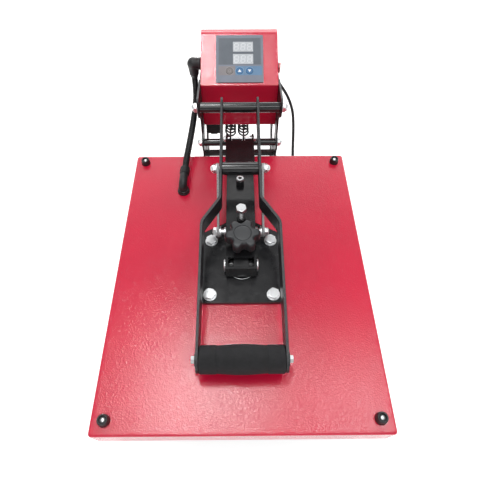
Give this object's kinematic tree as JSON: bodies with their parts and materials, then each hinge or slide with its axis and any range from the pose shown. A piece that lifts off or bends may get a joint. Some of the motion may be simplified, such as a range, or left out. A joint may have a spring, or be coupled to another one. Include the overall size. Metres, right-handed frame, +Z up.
{
  "type": "flat clamshell heat press",
  "caption": "Bench clamshell heat press with a red textured platen cover, black lever linkage, foam grip, sloping digital control box and a coiled mains cord.",
  "frame": {"origin": "middle of the underside of the rubber feet's level, at the centre of the machine's width and depth without its loose cord", "axes": "+X to the right seen from the operator at the handle, +Y to the rear, +Z up"},
  "size_m": [0.4295, 0.7614, 0.3165],
  "materials": {
    "red_paint": "textured gloss powder coat",
    "black_paint": "satin powder coat",
    "black_tube": "gloss",
    "zinc": "bright zinc plate",
    "heater_aluminium": "ground cast aluminium",
    "spring_steel": "blackened wire",
    "rubber": "matt black",
    "foam": "closed-cell foam",
    "silicone": "smooth matt silicone",
    "matte_plastic": "moulded black",
    "knob_plastic": "moulded dark grey",
    "panel_film": "satin printed film",
    "key_taupe": "satin",
    "key_blue": "satin",
    "switch_red": "moulded translucent red"
  },
  "bodies": {
    "frame": {"side_frame_left": "black_paint", "side_frame_right": "black_paint", "cross_tube_front": "black_paint", "cross_tube_rear": "black_paint", "rubber_foot_1": "rubber", "rubber_foot_2": "rubber", "rubber_foot_3": "rubber", "rubber_foot_4": "rubber", "tie_bar": "black_paint", "lower_platen": "black_paint", "silicone_pad": "silicone", "top_shaft": "zinc", "top_spacer_left": "black_tube", "top_spacer_middle": "black_tube", "top_spacer_right": "black_tube", "hinge_shaft": "zinc", "hinge_spacer_left": "black_tube", "hinge_spacer_right": "black_tube", "spring_bar": "zinc", "control_box_case": "red_paint", "control_box_rear_cover": "red_paint", "control_panel": "panel_film", "solid_state_relay": "matte_plastic", "limit_switch": "matte_plastic", "rocker_bezel": "matte_plastic", "upper_hose_elbow": "matte_plastic", "heater_hose": "rubber", "cord_gland": "matte_plastic", "power_cord": "rubber", "cord_coil": "rubber", "power_plug": "rubber", "spring_left": "spring_steel", "spring_right": "spring_steel"},
    "handle": {"handle_bar_left": "black_paint", "handle_bar_right": "black_paint", "handle_grip": "foam", "grip_rod": "zinc", "toggle_shaft": "black_tube"},
    "link": {"link_left": "black_paint", "link_right": "black_paint"},
    "arm": {"lift_arm": "black_paint", "spring_rod": "zinc", "link_trunnion": "zinc", "stop_bolt": "zinc"},
    "pressure_knob": {"pressure_knob": "knob_plastic", "pressure_screw": "zinc"},
    "platen": {"pressure_block": "zinc", "front_pivot_pin": "zinc", "mounting_plate": "black_paint", "mounting_bolt_1": "zinc", "mounting_bolt_2": "zinc", "mounting_bolt_3": "zinc", "mounting_bolt_4": "zinc", "heater_cover": "red_paint", "heating_platen": "heater_aluminium", "lower_hose_elbow": "matte_plastic"},
    "rocker": {"rocker_switch": "switch_red"},
    "set_key": {"set_button": "key_taupe"},
    "up_key": {"up_button": "key_blue"},
    "down_key": {"down_button": "key_blue"}
  },
  "joints": [
    {"name": "arm_lift", "type": "hinge", "parent": "frame", "child": "arm", "pos_m": [0, 0.2026, 0.152], "axis": [-1, 0, 0], "range_deg": [0, 40], "deforming": ["spring_left", "spring_right", "heater_hose"]},
    {"name": "handle_swing", "type": "hinge", "parent": "frame", "child": "handle", "pos_m": [0, 0.1856, 0.2543], "axis": [-1, 0, 0], "range_deg": [0, 73.54]},
    {"name": "link_swing", "type": "hinge", "parent": "handle", "child": "link", "pos_m": [0, 0.0512, 0.2333], "axis": [-1, 0, 0], "range_deg": [-69.3, 0]},
    {"name": "pressure_turn", "type": "hinge", "parent": "arm", "child": "pressure_knob", "pos_m": [0.0026, -0.0719, 0.2], "axis": [0, 0, 1], "range_deg": [0, 684.1]},
    {"name": "pressure_slide", "type": "slide", "parent": "arm", "child": "platen", "axis": [0, 0, 1], "range_m": [0, 0.00285]},
    {"name": "rocker_tilt", "type": "hinge", "parent": "frame", "child": "rocker", "pos_m": [0.0752, 0.2816, 0.2715], "axis": [0, 0, 1], "range_deg": [0, 18]},
    {"name": "set_press", "type": "slide", "parent": "frame", "child": "set_key", "axis": [0, 0.4359, -0.9], "range_m": [0, 0.0005], "stiffness_N_per_m": 300, "springref_m": -0.0008},
    {"name": "up_press", "type": "slide", "parent": "frame", "child": "up_key", "axis": [0, 0.4359, -0.9], "range_m": [0, 0.0005], "stiffness_N_per_m": 300, "springref_m": -0.0008},
    {"name": "down_press", "type": "slide", "parent": "frame", "child": "down_key", "axis": [0, 0.4359, -0.9], "range_m": [0, 0.0005], "stiffness_N_per_m": 300, "springref_m": -0.0008}
  ],
  "couplings": [
    {"joint": "handle_swing", "follows": "arm_lift", "ratio": 1.8383},
    {"joint": "link_swing", "follows": "arm_lift", "ratio": -1.7305},
    {"joint": "pressure_turn", "follows": "pressure_slide", "rad_per_m": 4188.8}
  ]
}
